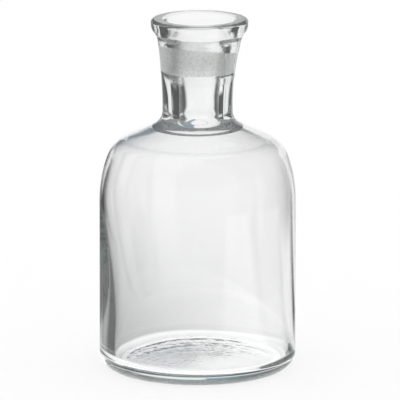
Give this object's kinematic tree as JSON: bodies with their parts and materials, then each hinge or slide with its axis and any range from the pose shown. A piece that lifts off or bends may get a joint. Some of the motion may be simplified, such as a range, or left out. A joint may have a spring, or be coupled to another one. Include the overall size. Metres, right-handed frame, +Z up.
{
  "type": "reagent bottle",
  "caption": "Clear glass narrow-neck reagent bottle with a rounded shoulder, flared flat lip and a ground conical socket in the neck for a stopper.",
  "frame": {"origin": "centre of the ring that the bottle rests on", "axes": "+Z up along the axis of the bottle, X and Y free"},
  "size_m": [0.07, 0.07, 0.1263],
  "materials": {
    "clear_glass": "gloss",
    "ground_glass": "frosted"
  },
  "bodies": {
    "root": {"bottle": "clear_glass"}
  },
  "joints": []
}
